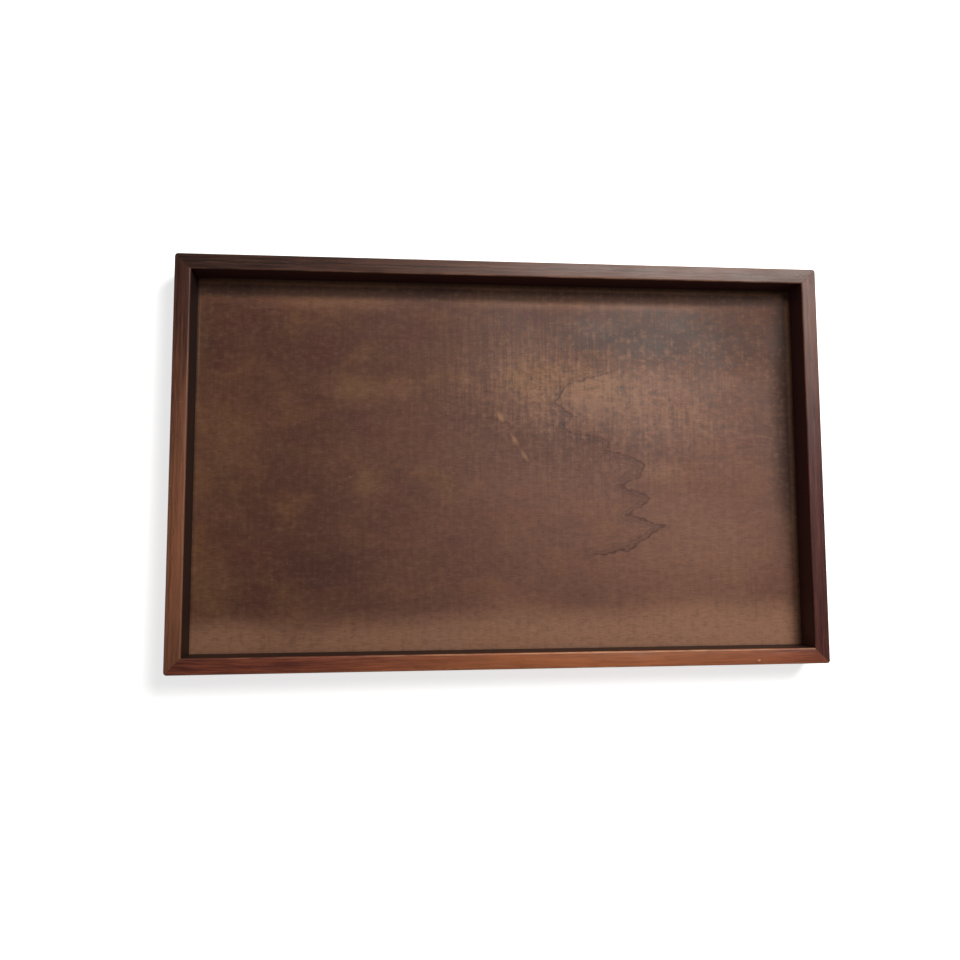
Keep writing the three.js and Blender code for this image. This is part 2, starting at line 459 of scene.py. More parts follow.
def sand(rail, outwards, seed):
    """Moves the rail's shown surface by smooth noise, and records each point's place on it."""
    half = abs(outwards.y) * length / 2 + abs(outwards.x) * width / 2
    cross_cut(rail, outwards, half)
    places = rail.data.attributes.new("rail_place", "FLOAT_VECTOR", "POINT")
    centre_in, centre_up = RAIL_THICKNESS / 2, height / 2
    for point, place in zip(rail.data.vertices, places.data):
        spot = rail_place(point.co, outwards)
        place.vector = spot
        beside_groove = spot.y > 2 * ARRIS_RADIUS and spot.z < groove_top + GROOVE_MARGIN
        if beside_groove or spot.z < SMALL:
            continue
        calm = fade_in(half - abs(spot.x) - spot.y, FADE_AT_MITRE)
        along, across = WAVES_PER_METRE
        wave_at = Vector((spot.x * along, seed + spot.y * across, spot.z * across))
        wave = noise.noise(wave_at) * UNEVEN
        past_face = min(spot.y, RAIL_THICKNESS - spot.y) < SMALL
        past_top = height - spot.z < SMALL
        inwards_move = wave * calm if past_face else 0
        upwards_move = wave * calm if past_top else 0
        if not past_face and not past_top:
            along, across = DENTS_PER_METRE
            dent = max(0.0, noise.noise(Vector((spot.x * along, seed, spot.y * across)))) ** 1.5
            towards = Vector((0, centre_in - spot.y, centre_up - spot.z)).normalized()
            inwards_move = towards.y * dent * RUBBED_OFF * calm
            upwards_move = towards.z * dent * RUBBED_OFF * calm
        point.co -= outwards * inwards_move
        point.co.z += upwards_move
    choose(rail)
    bpy.ops.object.shade_smooth_by_angle(angle=SMOOTH_BELOW)


for seed, (name, outwards) in enumerate(SIDES.items()):
    sand(rails[name], outwards, seed * 7.3)
print("sanded", ", ".join(rails))

# %% [markdown]
# ## The panel's veneers
# The panel is plywood: two thin veneers with a thicker one between them, its grain turned a
# quarter. The face veneer was peeled from a turning log, so the blade kept sliding in and out of
# the same growth rings, and their edges wander across the sheet in jagged tongues. The sheet is
# a fine grid pulled down into a thin solid. Its shown side is a little wavy, because thin
# plywood moves with the weather, but only inside the rails: its edges must slip into the groove.

# %% Model the veneer sheets
SHEET_WAVE = 0.16 * MM
FLAT_NEAR_RAIL = 30.0 * MM
WAVES = (((9, 14, 900), 1.0), ((30, 160, 400), 0.12))  # how many per metre, how high


def from_rails(x, y):
    """How far a point of the panel is from the nearest inner wall. Negative under the rails."""
    return np.minimum(inner_x - np.abs(x - middle.x), inner_y - np.abs(y - middle.y))


def veneer_sheet(node, spacing, shows_up):
    """A fine sheet in the place of a flat veneer, with its shown side a little wavy."""
    low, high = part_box(node)
    size, centre = high - low, (low + high) / 2
    shown, hidden = (high.z, low.z) if shows_up else (low.z, high.z)
    start_alone()
    bpy.ops.mesh.primitive_grid_add(
        x_subdivisions=round(size.x / spacing), y_subdivisions=round(size.y / spacing), size=1,
        location=(centre.x, centre.y, hidden))
    bpy.context.object.scale = (size.x, size.y, 1)
    sheet = name_piece(node + "_finished")
    enter_edit()
    bpy.ops.mesh.select_all(action="SELECT")
    bpy.ops.mesh.extrude_region_move(TRANSFORM_OT_translate={"value": (0, 0, shown - hidden)})
    pick("faces", lambda face: abs(face.calc_center_median().z - hidden) < SMALL)
    bpy.ops.mesh.dissolve_faces()
    bpy.ops.mesh.select_all(action="SELECT")
    bpy.ops.mesh.normals_make_consistent(inside=False)
    leave_edit()
    for point in sheet.data.vertices:
        if abs(point.co.z - shown) < SMALL:
            calm = fade_in(float(from_rails(point.co.x, point.co.y)), FLAT_NEAR_RAIL)
            spot = Vector((point.co.x, point.co.y, shown))
            waves = sum(high * noise.noise(spot * Vector(many)) for many, high in WAVES)
            point.co.z += SHEET_WAVE * calm * waves
    bpy.ops.object.shade_smooth_by_angle(angle=SMOOTH_BELOW)
    return sheet


face_veneer = veneer_sheet("panel_face_veneer", 1.6 * MM, shows_up=True)
back_veneer = veneer_sheet("panel_back_veneer", 3.0 * MM, shows_up=False)
describe(face_veneer)
describe(back_veneer)

# %% [markdown]
# ## The growth ring
# One ring's edge shows clearly on the face. It comes in from the far side, zigzags through five
# tongues that all point right, and dies away towards the near side. Drawing it as a picture
# would fix its sharpness, so instead every point of the sheet learns how far it is from that
# edge, and on which side. The finish can then draw the dark line at zero, fade the late wood
# behind it, and repeat it faintly at other distances, as a real log repeats its rings.

# %% Measure the distance to the ring's edge
RING_EDGE_MM = [
    (230, 104), (150, 92), (100, 80), (78, 72), (51, 64), (41, 49), (54, 39), (47, 31),
    (52, 25), (78, 21), (84, 17), (82, 11), (105, 5), (112, -1), (108, -10), (93, -18),
    (113, -25), (117, -28), (108, -34), (96, -41), (120, -47), (128, -49), (116, -57),
    (98, -68), (76, -72), (30, -78), (-60, -96),
]
RAGGED = 1.1  # millimetres
RAGS_PER_MM = 0.17


def ring_distance(sheet):
    """Adds the attribute ring: millimetres to the ring's edge, negative on its left."""
    count = len(sheet.data.vertices)
    places = np.zeros(count * 3)
    sheet.data.vertices.foreach_get("co", places)
    points = (places.reshape(-1, 3)[:, :2] - np.array(middle[:2])) / MM
    ragged = np.array([
        [noise.noise(Vector((x * RAGS_PER_MM, y * RAGS_PER_MM, layer))) for layer in (1.0, 9.0)]
        for x, y in points
    ])
    points = points + RAGGED * ragged
    nearest = np.full(count, 1e9)
    corners = np.array(RING_EDGE_MM, float)
    for start, end in zip(corners[:-1], corners[1:]):
        run = end - start
        share = np.clip((points - start) @ run / (run @ run), 0, 1)
        nearest = np.minimum(nearest, np.linalg.norm(points - start - share[:, None] * run, axis=1))
    edge_x = np.interp(-points[:, 1], -corners[:, 1], corners[:, 0])
    side = np.where(points[:, 0] > edge_x, 1.0, -1.0)
    attribute = sheet.data.attributes.new("ring", "FLOAT", "POINT")
    attribute.data.foreach_set("value", nearest * side)


ring_distance(face_veneer)
print("the ring's edge has", len(RING_EDGE_MM), "corners")

# %% [markdown]
# ## The filler plugs
# Each brad's head is hidden under a dab of wood filler, wiped level and stained with the rest.
# Filler shrinks as it dries, so the dab is a shallow dish with a slightly raised, uneven rim. It
# is modelled once, as a short cylinder whose outer end is inset and pressed in, and then copied
# to the eight holes. Each copy has its own mesh and its own unevenness.

# %% Model one plug and copy it
DISH_DEPTH = 0.18 * MM
DISH_REACH = 0.5 * MM
PLUG_UNEVEN = 0.06 * MM
LUMPS_PER_METRE = 900
plug_low, plug_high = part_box(f"filler_plug_{BRADS[0]}")
PLUG_RADIUS = (plug_high.z - plug_low.z) / 2
PLUG_LENGTH = plug_high.x - plug_low.x

start_alone()
bpy.ops.mesh.primitive_cylinder_add(
    vertices=BIT_FACETS, radius=PLUG_RADIUS, depth=PLUG_LENGTH, location=(PLUG_LENGTH / 2, 0, 0),
    rotation=(0, math.radians(90), 0))
first_plug = name_piece("plug")
enter_edit()
pick("faces", lambda face: face.normal.x < -0.9)
for inset_share in (0.12, 0.28, 0.3):
    bpy.ops.mesh.inset(thickness=PLUG_RADIUS * inset_share)
    bpy.ops.transform.translate(value=(DISH_DEPTH / 3, 0, 0))
bpy.ops.mesh.poke()
leave_edit()


def set_plug(place, seed):
    """A copy of the plug, turned, pressed unevenly and set in its hole."""
    node = f"filler_plug_{place}"
    low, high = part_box(node)
    facing_left = low.x < middle.x
    plug = choose(copy_of(first_plug, node + "_finished"))
    turn = Matrix.Rotation(seed * 1.7, 4, "X")
    flip = Matrix.Identity(4) if facing_left else Matrix.Rotation(math.pi, 4, "Z")
    mouth = Vector((low.x if facing_left else high.x, (low.y + high.y) / 2, (low.z + high.z) / 2))
    plug.data.transform(Matrix.Translation(mouth) @ flip @ turn)
    inwards = 1 if facing_left else -1
    for point in plug.data.vertices:
        if abs(point.co.x - mouth.x) < DISH_REACH:
            lump = noise.noise(point.co * LUMPS_PER_METRE + Vector((seed, 0, 0)))
            point.co.x += inwards * PLUG_UNEVEN * (1 + lump)
    bpy.ops.object.shade_smooth_by_angle(angle=math.radians(50))
    return plug


plugs = {place: set_plug(place, seed) for seed, place in enumerate(BRADS)}
bpy.data.objects.remove(first_plug)
print(len(plugs), "plugs of", len(plugs[BRADS[0]].data.polygons), "faces")

# %% [markdown]
# ## Helpers for finishes
# A finish is a small machine of shader nodes. Written out in full, each node takes four or five
# lines, and the idea gets lost. These helpers add a node and wire it in one line, so that the
# cells below read like the recipe: what is mixed with what, and by how much. They all write into
# one tree, the one that start_group or start_finish started last.

# %% Shader helpers: numbers and places
def paint(red, green, blue):
    """A colour on a 0 to 255 scale, as the linear values that a shader wants."""
    linear = [
        (share / 12.92 if share <= 0.04045 else ((share + 0.055) / 1.055) ** 2.4)
        for share in (red / 255, green / 255, blue / 255)
    ]
    return (*linear, 1.0)


def feed(socket, value):
    """Wires another node's output into a socket, or sets the socket to a plain value."""
    if isinstance(value, bpy.types.NodeSocket):
        tree.links.new(value, socket)
    else:
        socket.default_value = value


def feed_named(node, inputs):
    """Feeds several of a node's sockets by name, with _ for a space."""
    for name, value in inputs.items():
        feed(node.inputs[name.replace("_", " ")], value)


def add(kind, output=0, options=None, **inputs):
    """Adds a node and returns one of its outputs."""
    made = tree.nodes.new("ShaderNode" + kind)
    for option, value in (options or {}).items():
        setattr(made, option, value)
    feed_named(made, inputs)
    return made.outputs[output]


def add_sum(kind, operation, output, values):
    """Adds a node that works out one operation on its values, taken in order."""
    made = tree.nodes.new("ShaderNode" + kind)
    made.operation = operation
    for socket, value in zip(made.inputs, values):
        feed(socket, value)
    return made.outputs[output]


def maths(operation, *values):
    return add_sum("Math", operation, "Value", values)


def vectors(operation, *values, output="Vector"):
    return add_sum("VectorMath", operation, output, values)


def both(first, second):
    """The product. Of two masks, it is where they overlap."""
    return maths("MULTIPLY", first, second)


def plus(first, second):
    return maths("ADD", first, second)


def minus(first, second):
    return maths("SUBTRACT", first, second)


def spread(value, low, high, to_low=0.0, to_high=1.0):
    """Maps low..high smoothly to to_low..to_high, and holds the ends."""
    return add("MapRange", options={"interpolation_type": "SMOOTHSTEP"}, Value=value,
               From_Min=low, From_Max=high, To_Min=to_low, To_Max=to_high)


# %% Shader helpers: colours, noise and groups
def blend_colours(share, first, second):
    """Share 0 gives the first colour and share 1 the second."""
    made = tree.nodes.new("ShaderNodeMix")
    made.data_type = "RGBA"
    feed(made.inputs[0], share)
    feed(made.inputs[6], first)
    feed(made.inputs[7], second)
    return made.outputs[2]


def tint(colour, mask, share, tone):
    """Lays a tone over a colour where the mask is 1, as strongly as share says."""
    return blend_colours(both(mask, share), colour, tone)


def noise_value(place, detail=2.0, roughness=0.5, scale=1.0):
    """A smooth noise of about 0.5, give or take 0.25."""
    return add("TexNoise", Vector=place, Scale=scale, Detail=detail, Roughness=roughness)


def start_group(name, **inputs):
    """Starts a node group that puts out one mask. Returns its given inputs."""
    global tree
    tree = bpy.data.node_groups.new(name, "ShaderNodeTree")
    for label, value in inputs.items():
        kind = "NodeSocketVector" if isinstance(value, tuple) else "NodeSocketFloat"
        tree.interface.new_socket(label, in_out="INPUT", socket_type=kind).default_value = value
    tree.interface.new_socket("Mask", in_out="OUTPUT", socket_type="NodeSocketFloat")
    return tree.nodes.new("NodeGroupInput").outputs


def end_group(mask):
    """Puts out the mask, and returns the finished group."""
    feed(tree.nodes.new("NodeGroupOutput").inputs["Mask"], mask)
    print(tree.name, len(tree.nodes), "nodes")
    return tree


def use(group, **inputs):
    """Places a node group in the tree and returns its mask."""
    made = tree.nodes.new("ShaderNodeGroup")
    made.node_tree = group
    feed_named(made, inputs)
    return made.outputs["Mask"]


# %% Shader helpers: whole materials
def start_finish(name):
    """Starts a material that is nothing but its shader."""
    global tree
    material = bpy.data.materials.new(name)
    material.use_nodes = True
    tree = material.node_tree
    return material


def end_finish(material, **inputs):
    """Wires up the material's shader, and returns the finished material."""
    feed_named(tree.nodes["Principled BSDF"], inputs)
    print(material.name, len(tree.nodes), "nodes")
    return material


def bump(relief, depth):
    """A normal bent by a relief from 0 to 1, depth metres high."""
    return add("Bump", Height=relief, Distance=depth, Strength=1.0)


def wear_only(piece, material):
    """Takes off whatever finish a piece has and puts on this one."""
    piece.data.materials.clear()
    piece.data.materials.append(material)


# %% [markdown]
# ## Effects that the finishes share
# Grain, hatching, patches, specks and rubbed edges with their painted highlight turn up on more
# than one piece, so each is a node group, built once and placed wherever it is needed with its own
# values. A group puts out
# only a mask from 0 to 1. What the mask does, whether it darkens the colour or dulls the gloss,
# is decided in the material.

# %% Grain: long soft streaks
ORIGIN = (0.0, 0.0, 0.0)


def grain_group():
    """Streaks that run along X and wander a little."""
    given = start_group("wood_grain", Place=ORIGIN, Length=0.1, Width=0.002, Wander=0.003)
    drift = noise_value(vectors("DIVIDE", given["Place"], (0.12, 0.03, 0.03)))
    aside = both(minus(drift, 0.5), given["Wander"])
    shift = add("CombineXYZ", Y=aside, Z=aside)
    size = add("CombineXYZ", X=given["Length"], Y=given["Width"], Z=given["Width"])
    stretched = vectors("DIVIDE", vectors("ADD", given["Place"], shift), size)
    return end_group(spread(noise_value(stretched, 4.0, 0.62), 0.36, 0.64))


wood_grain = grain_group()


# %% Hatching: the fine crossed lines that a lathe knife and a sanding belt leave
HATCHES = (("Run", "Pitch", 0.24), ("Pitch", "Run", 0.76))  # size along X and Y, how strong


def hatch_group():
    """Two sets of thin lines, one along X and a stronger one along Y."""
    given = start_group("knife_hatch", Place=ORIGIN, Pitch=0.0015, Run=0.02)
    hatch = 0.0
    for along, across, share in HATCHES:
        size = add("CombineXYZ", X=given[along], Y=given[across], Z=given["Run"])
        lines = noise_value(vectors("DIVIDE", given["Place"], size))
        hatch = plus(hatch, both(spread(lines, 0.32, 0.68), share))
    return end_group(hatch)


knife_hatch = hatch_group()

# %% A soft patch: somewhere the stain took more, or was rubbed away
FRAYED_APART = (90.0, 90.0, 90.0)  # so that no two patches fray alike


def patch_group():
    """One soft oval, 1 at its centre and 0 past its radius."""
    given = start_group("soft_patch", Place=ORIGIN, Centre=ORIGIN, Radius=(0.05, 0.05, 1.0),
                        Turn=0.0, Ragged=0.3)
    offset = vectors("SUBTRACT", given["Place"], given["Centre"])
    turned = add("VectorRotate", options={"rotation_type": "Z_AXIS"},
                 Vector=offset, Angle=given["Turn"])
    spans = vectors("DIVIDE", turned, given["Radius"])
    far = vectors("LENGTH", spans, output="Value")
    frayed = vectors("ADD", spans, vectors("MULTIPLY", given["Centre"], FRAYED_APART))
    torn = minus(noise_value(frayed, 5.0, 0.62, scale=1.9), 0.5)
    return end_group(spread(plus(far, both(torn, given["Ragged"])), 1.0, 0.1))


soft_patch = patch_group()


# %% Specks: pores, nibs of dust caught in the varnish, and small nicks
def speck_group():
    """Small round dots scattered at random. Share says how many of the cells hold one."""
    given = start_group("specks", Place=ORIGIN, Spacing=0.01, Radius=0.08, Share=0.2)
    spacing = add("CombineXYZ", X=given["Spacing"], Y=given["Spacing"], Z=given["Spacing"])
    cells = tree.nodes.new("ShaderNodeTexVoronoi")
    feed(cells.inputs["Vector"], vectors("DIVIDE", given["Place"], spacing))
    cells.inputs["Scale"].default_value = 1.0
    chosen = maths("LESS_THAN", add("SeparateColor", Color=cells.outputs["Color"]), given["Share"])
    return end_group(both(spread(cells.outputs["Distance"], given["Radius"], 0.0), chosen))


specks = speck_group()

# %% Rubbed edges: where hands and cloths have thinned the stain, and a painted highlight where the rounded edges catch the light
SHARP_EDGE = 0.3 * MM


def edge_group():
    """1 on a rail's long edges, 0 on its flats. Place is the rail's own: along, in and up."""
    given = start_group("worn_and_highlit_edges", Place=ORIGIN, Reach=0.0018, Broken=0.5)
    squared = 0.0
    for axis, size in (("Y", RAIL_THICKNESS), ("Z", height)):
        spot = add("SeparateXYZ", output=axis, Vector=given["Place"])
        to_edge = maths("MINIMUM", spot, minus(size, spot))
        squared = plus(squared, both(to_edge, to_edge))
    near_edge = spread(maths("SQRT", squared), given["Reach"], SHARP_EDGE)
    along_edge = vectors("DIVIDE", given["Place"], (0.02, 0.004, 0.004))
    breaks = spread(noise_value(along_edge, 3.0), 0.62, 0.42)
    return end_group(both(near_edge, minus(1.0, both(given["Broken"], breaks))))


worn_and_highlit_edges = edge_group()

# %% [markdown]
# ## The rails' finish
# The four rails were cut from different boards and took the same stain differently: the far rail
# went almost black, and the near rail stayed a warm orange brown in its middle, where it is
# handled most. Four separate finishes would drift apart in everything else too, so one recipe
# makes all four, and each rail gives it its own tones and places. The grain reads the rail's own
# coordinates, so it follows each rail round the corner, and the mitre shows as a real change of
# direction.

# %% Each rail's own tones and places
RAIL_LOOKS = {
    # wall is the tone of each inner wall, which paints its light and shade: dark on the near and
    # left walls, though the lamp lights them, and lighter on the far and right walls, which the
    # lamp leaves in shadow.
    "far_rail": Look(
        seed=1.3, dark=paint(30, 15, 11), pale=paint(82, 50, 39), rubbed=paint(160, 116, 90),
        warm=paint(102, 64, 47), warm_at=-90 * MM, warm_half=280 * MM, dark_at=300 * MM,
        vein_at=6 * MM, veined=0.75, wall=paint(76, 38, 34), roughness=0.47, shine=0.4, nicks=()),
    "near_rail": Look(
        seed=4.1, dark=paint(76, 32, 25), pale=paint(134, 70, 49), rubbed=paint(214, 160, 118),
        warm=paint(170, 100, 62), warm_at=60 * MM, warm_half=250 * MM, dark_at=290 * MM,
        vein_at=14 * MM, veined=0.6, wall=paint(22, 9, 6), roughness=0.46, shine=0.4,
        nicks=((193 * MM, 3.4 * MM),)),
    "left_rail": Look(
        seed=7.9, dark=paint(48, 25, 20), pale=paint(102, 60, 44), rubbed=paint(128, 88, 66),
        warm=paint(144, 91, 64), warm_at=70 * MM, warm_half=190 * MM, dark_at=-165 * MM,
        vein_at=3 * MM, veined=0.4, wall=paint(22, 9, 6), roughness=0.48, shine=0.34, nicks=()),
    "right_rail": Look(
        seed=11.2, dark=paint(50, 22, 19), pale=paint(92, 48, 42), rubbed=paint(116, 80, 64),
        warm=paint(100, 62, 48), warm_at=110 * MM, warm_half=90 * MM, dark_at=300 * MM,
        vein_at=8 * MM, veined=0.4, wall=paint(92, 58, 54), roughness=0.46, shine=0.26, nicks=()),
}
print("looks for", ", ".join(RAIL_LOOKS))

# %% [markdown]
# The wood comes first. Straight grain is two sizes of streak, one laid over the other. A warm
# stretch is where the stain has worn back under hands, and a gloomy one is where it took twice.
# Veins of late wood run the whole length and sway a few millimetres.

# %% The wood of a rail
VEIN_SWAY = 5.0 * MM
VEINS = ((0.0, 0.75), (2.4 * MM, 0.4), (-3.2 * MM, 0.3))  # how far from the first, how dark


def stretch(own, middle_at, half):
    """1 in the middle of a stretch of the rail's top, and 0 past its ends."""
    return use(soft_patch, Place=own, Centre=(middle_at, RAIL_THICKNESS / 2, height),
               Radius=(half, 0.03, 0.04), Turn=0.0, Ragged=0.5)


def darker(tone, share):
    return [value * share for value in tone[:3]] + [1.0]


def veins(place, inwards, look):
    """Dark lines of late wood along the rail."""
    sway = noise_value(vectors("DIVIDE", place, (0.022, 1.0, 1.0)), 4.0, 0.6)
    across = plus(inwards, both(minus(sway, 0.5), VEIN_SWAY))
    found = 0.0
    for offset, share in VEINS:
        gap = maths("ABSOLUTE", minus(across, look.vein_at + offset))
        line = both(spread(gap, 0.9 * MM, 0.1 * MM), share * look.veined)
        found = plus(found, line)
    return found


def rail_wood(own, place, inwards, look):
    """Returns the wood's colour, its figure, and how warm each place is."""
    streaks = use(wood_grain, Place=place, Length=0.07, Width=0.0028, Wander=0.01)
    fine = use(wood_grain, Place=place, Length=0.018, Width=0.0007, Wander=0.004)
    figure = plus(both(streaks, 0.6), both(fine, 0.4))
    wood = blend_colours(figure, look.dark, look.pale)
    warmth = stretch(own, look.warm_at, look.warm_half)
    warm_wood = blend_colours(figure, darker(look.warm, 0.62), look.warm)
    wood = blend_colours(warmth, wood, warm_wood)
    wood = tint(wood, stretch(own, look.dark_at, 90 * MM), 0.6, look.dark)
    wood = blend_colours(veins(place, inwards, look), wood, darker(look.dark, 0.7))
    return wood, figure, warmth


# %% [markdown]
# Use and workmanship come on top of the wood. Long edges are rubbed paler in broken runs, most
# of all where the rail is handled, and that paleness also paints the highlight of the rounded
# edges.
# Each inner wall has a tone of its own that paints its light and shade. Open pores hold black
# stain, and a nick shows bare wood.

# %% The wear on a rail, and its whole finish
def rail_wear(wood, own, place, inwards, warmth, look):
    """Returns the colour with its wear, and the masks of worn and highlit edges, of the inner
    wall's painted light and shade, and of pores.
    """
    # Paler edges: partly wear, and partly a painted highlight along the rounded edges.
    edge_wear_and_highlight = use(worn_and_highlit_edges, Place=own, Reach=0.0015, Broken=0.75)
    handled = plus(0.15, both(warmth, 0.5))
    wood = blend_colours(both(edge_wear_and_highlight, handled), wood, look.rubbed)
    upwards = add("SeparateXYZ", output="Z", Vector=own)
    inner_wall = spread(inwards, RAIL_THICKNESS - 0.8 * MM, RAIL_THICKNESS - 0.1 * MM)
    below_rim = spread(upwards, height - 0.7 * MM, height - 2.0 * MM)
    wall_light_and_shade = both(inner_wall, below_rim)
    # The inner wall below the rim takes its rail's tone of painted light and shade.
    wood = tint(wood, wall_light_and_shade, 0.93, look.wall)
    pores = use(specks, Place=vectors("MULTIPLY", place, (0.16, 1.0, 1.0)),
                Spacing=0.0016, Radius=0.3, Share=0.35)
    wood = tint(wood, pores, 0.45, paint(22, 12, 9))
    small_nicks = use(specks, Place=place, Spacing=0.021, Radius=0.035, Share=0.22)
    wood = tint(wood, small_nicks, 0.8, paint(178, 120, 78))
    for nick_along, nick_in in look.nicks:
        nick = use(soft_patch, Place=own, Centre=(nick_along, nick_in, height),
                   Radius=(1.7 * MM, 1.2 * MM, 2 * MM), Turn=0.0, Ragged=0.8)
        wood = tint(wood, nick, 0.8, paint(206, 150, 104))
    return wood, edge_wear_and_highlight, wall_light_and_shade, pores


def rail_finish(name, look):
    """Stained, varnished hardwood."""
    material = start_finish(name + "_walnut")
    own = add("Attribute", output="Vector", options={"attribute_name": "rail_place"})
    place = vectors("ADD", own, (look.seed, look.seed * 0.37, look.seed * 0.61))
    inwards = add("SeparateXYZ", output="Y", Vector=own)
    wood, figure, warmth = rail_wood(own, place, inwards, look)
    wood, edge_wear_and_highlight, wall_light_and_shade, pores = rail_wear(wood, own, place, inwards, warmth, look)
    smears = noise_value(vectors("DIVIDE", place, (0.05, 0.01, 0.01)), 3.0)
    gloss = spread(smears, 0.3, 0.7, look.roughness - 0.05, look.roughness + 0.05)
    duller = plus(both(edge_wear_and_highlight, 0.12), both(wall_light_and_shade, 0.1))
    relief = bump(minus(figure, both(pores, 0.8)), 0.06 * MM)
    return end_finish(material, Base_Color=wood, Roughness=plus(gloss, duller), Normal=relief,
                      Specular_IOR_Level=look.shine)


for name, look in RAIL_LOOKS.items():
    wear_only(rails[name], rail_finish(name, look))

# %% [markdown]
# ## The face veneer's finish
# Stain on peeled veneer is uneven at every scale, and that is most of what the eye sees in this
# tray. One noise would look like a printed pattern, so the recipe goes from large to small, as
# the marks came: the stain's own drift, the patches where it took more or was rubbed off, the
# margin that the rag wiped, the growth ring, the hatching of the knife, the pores, and last the
# marks of use. Places are on the object's own coordinates, with the grain along X.

# %% Start the face veneer's finish
veneer_look = start_finish("face_veneer_walnut")
on_panel = add("TexCoord", output="Object")
panel_x = add("SeparateXYZ", output="X", Vector=on_panel)
panel_y = add("SeparateXYZ", output="Y", Vector=on_panel)


def patch(centre, radius, turn=0.0, ragged=0.5):
    """A soft oval on the panel, with its places in millimetres and its turn in degrees."""
    return use(soft_patch, Place=on_panel, Centre=(centre[0] * MM, centre[1] * MM, PANEL_TOP),
               Radius=(radius[0] * MM, radius[1] * MM, 1.0), Turn=math.radians(turn),
               Ragged=ragged)


def cloud(size, shift, detail=4.0, roughness=0.6):
    """Noise with lumps of the given size in millimetres, along X and along Y."""
    moved = vectors("ADD", on_panel, (shift, shift * 0.57, 0.0))
    scaled = vectors("DIVIDE", moved, (size[0] * MM, size[1] * MM, 0.1))
    return noise_value(scaled, detail, roughness)


print("the face veneer's grain runs along X")

# %% [markdown]
# The stain drifts between a reddish and a golden brown, in clouds the size of a hand and again
# in clouds the size of a coin.

# %% The stain's drift
DRIFTS = (
    ((40, 26), 3.1, 0.57, paint(116, 76, 43)),
    ((50, 30), 7.4, 0.6, paint(90, 43, 34)),
    ((17, 12), 11.3, 0.34, paint(116, 74, 46)),
    ((19, 13), 13.7, 0.4, paint(78, 37, 28)),
)  # size in millimetres, which part of the noise, how strongly, tone

wood = blend_colours(spread(cloud((110, 60), 0.0), 0.3, 0.7), paint(85, 49, 36),
                     paint(101, 62, 43))
for size, shift, share, tone in DRIFTS:
    wood = tint(wood, spread(cloud(size, shift), 0.5, 0.72), share, tone)
print(len(DRIFTS), "drifts of tone")

# %% [markdown]
# Then the patches, each put where it is on this tray: centre and radius in millimetres from the
# middle of the panel, and how strongly it shows. Most dark ones lie on the left. The pale ones
# lie along the near and far edges and round the growth ring, and the golden ones, where bare
# wood shines through, left of the ring and down the left side. A few broad ones have tones of
# their own. Towards the far right corner the veneer is dark and greyer, and blotched. One narrow
# dark patch along the right rail is painted shade that widens its shadow, and one pale patch in
# the near right corner is painted light that lifts that shadow again.

# %% Patches of more stain and of less
STAINED = (
    ((-135, -82), (62, 34), 0.7), ((-180, 92), (70, 30), 0.4), ((-120, 40), (60, 40), 0.3),
    ((-8, 72), (26, 60), 0.3),
)
PALE_PATCHES = (
    ((-82, 58), (24, 12), 0.2), ((20, 68), (90, 50), 0.3), ((75, 62), (120, 46), 0.35),
    # The first patch on the next line is painted light: it lifts the right rail's shadow in the
    # near right corner.
    ((225, -128), (34, 26), 0.5), ((70, 58), (36, 24), 0.8), ((4, -112), (40, 16), 0.3),
    ((130, 45), (90, 50), 0.4), ((126, -6), (30, 14), 0.5), ((-140, 128), (110, 12), 0.4),
    ((160, -126), (140, 30), 0.9), ((20, -130), (150, 22), 0.8), ((-215, -134), (60, 20), 0.9),
    ((60, 131), (190, 9), 0.5), ((-110, -136), (120, 14), 0.6), ((150, -70), (110, 60), 0.3),
)
GOLDEN = (
    ((-105, -16), (20, 20), 0.35), ((-117, 58), (34, 18), 0.4), ((-212, 20), (36, 56), 0.28),
    ((-225, -95), (34, 40), 0.28), ((26, 68), (38, 26), 0.6), ((80, 62), (40, 26), 0.35),
)
BROAD = (
    ((158, 105), (150, 36), 0.9, 0.72, paint(70, 47, 38)),
    # The next patch is painted shade: it widens the right rail's shadow along the panel's right
    # edge.
    ((240, 30), (44, 130), 0.3, 0.6, paint(62, 38, 28)),
    ((75, 98), (70, 20), 0.5, 0.5, paint(72, 52, 42)),
    ((90, -60), (300, 190), 0.6, 0.34, paint(142, 96, 78)),
)  # centre, radius, how ragged, how strongly, tone

for centre, radius, share in STAINED:
    wood = tint(wood, patch(centre, radius), share, paint(68, 35, 28))
for centre, radius, ragged, share, tone in BROAD:
    wood = tint(wood, patch(centre, radius, ragged=ragged), share, tone)
for centre, radius, share in PALE_PATCHES:
    wood = tint(wood, patch(centre, radius), share, paint(144, 101, 76))
for centre, radius, share in GOLDEN:
    wood = tint(wood, patch(centre, radius, ragged=1.3), share, paint(138, 98, 62))
blotches = both(patch((140, 105), (180, 46), ragged=0.9),
                spread(cloud((13, 9), 17.9, 2.0), 0.42, 0.66))
wood = tint(wood, blotches, 0.55, paint(50, 36, 32))
print(len(STAINED), "patches of more stain,", len(PALE_PATCHES), "of less and", len(GOLDEN), "golden")

# %% [markdown]
# Beside the rails a rag wiped the surplus back, which left a paler margin of uneven width. Along
# the far and right rails lies a painted shadow band, with a paler foot of painted light. It widens
# the soft shadow that those rails cast on the panel, and keeps that shadow from going black where
# it starts.

# %% The wiped margin, and the painted shadow band with its painted light at the foot
MARGIN = (24 * MM, 4 * MM)  # from nothing to full
MARGIN_RAGGED = 0.04
NARROWER_AT_SIDES = 8 * MM
NEAR_MARGIN = (36 * MM, 8 * MM)
BAND_START = (3 * MM, 6 * MM)
FAR_BAND_END = (17 * MM, 11 * MM)
RIGHT_BAND_END = (24 * MM, 8 * MM)
FOOT = (5 * MM, 2 * MM)

